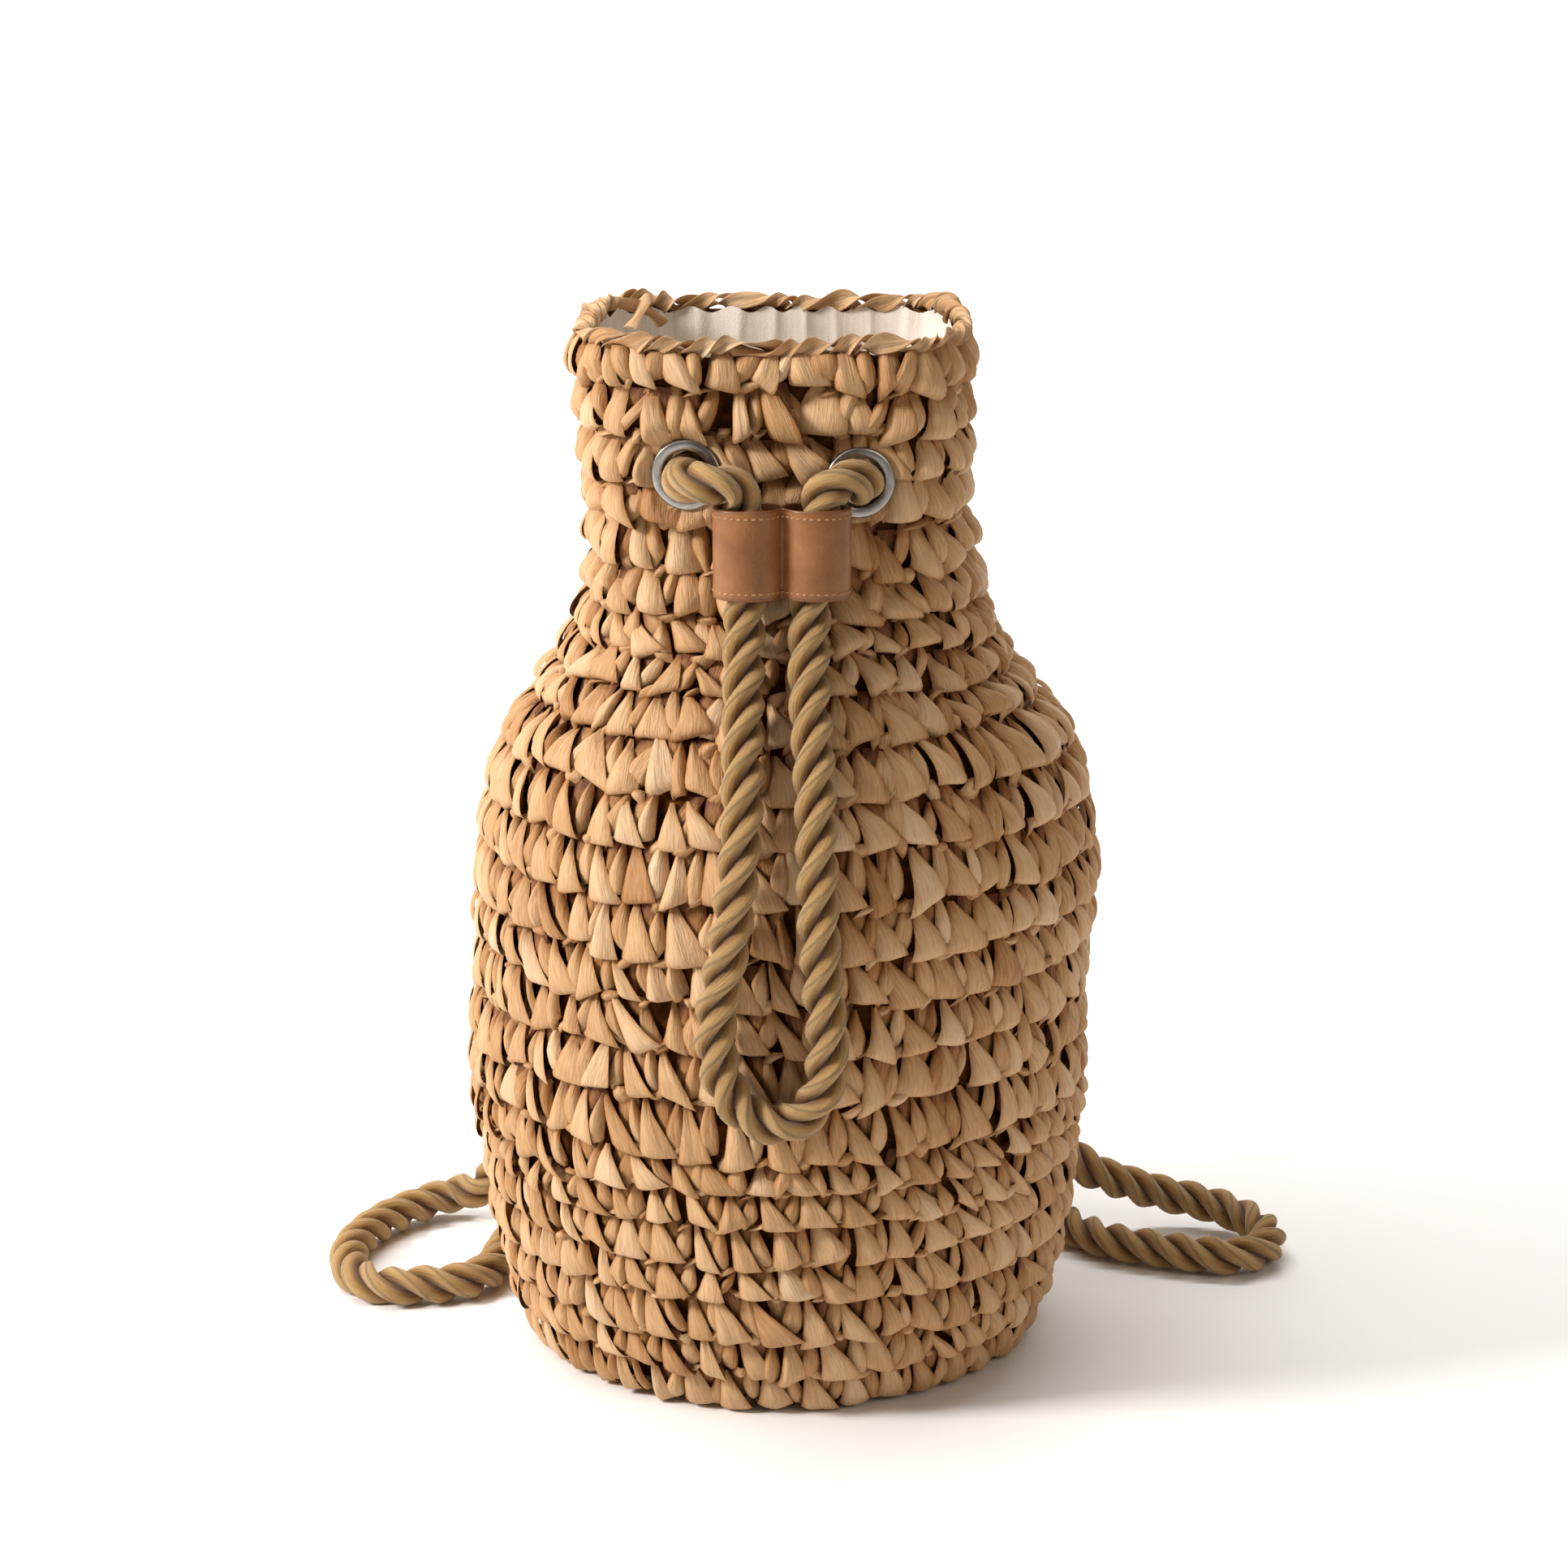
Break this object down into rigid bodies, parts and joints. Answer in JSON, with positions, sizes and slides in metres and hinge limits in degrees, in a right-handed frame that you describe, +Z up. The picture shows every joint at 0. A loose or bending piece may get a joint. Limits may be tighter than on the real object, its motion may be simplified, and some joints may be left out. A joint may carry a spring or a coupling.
{
  "type": "woven straw backpack with a drawstring rope",
  "caption": "Crocheted straw bucket backpack with a squarish neck, cotton lining, thick rope loop in front with a leather slider, and two rope shoulder straps.",
  "frame": {"origin": "middle of the base on the floor that the bag stands on", "axes": "+Z up through the mouth, -Y to the front with the rope loop and the slider, +X to the right seen from the front"},
  "size_m": [0.3724, 0.2539, 0.378],
  "materials": {
    "straw": "dry paper straw, crocheted",
    "lining": "plain woven cotton, matte",
    "rope": "laid cotton rope, soft matte",
    "leather": "smooth, softly waxed, stitched",
    "eyelet_metal": "satin"
  },
  "bodies": {
    "root": {"straw_base": "straw", "straw_body": "straw", "straw_shoulder": "straw", "straw_neck": "straw", "lining": "lining", "eyelet_front_left": "eyelet_metal", "eyelet_front_right": "eyelet_metal", "eyelet_back_left": "eyelet_metal", "eyelet_back_right": "eyelet_metal", "eyelet_base_left": "eyelet_metal", "eyelet_base_right": "eyelet_metal", "slider": "leather", "drawstring": "rope", "strap_left": "rope", "strap_right": "rope", "knot_left": "rope", "knot_right": "rope"}
  },
  "joints": []
}
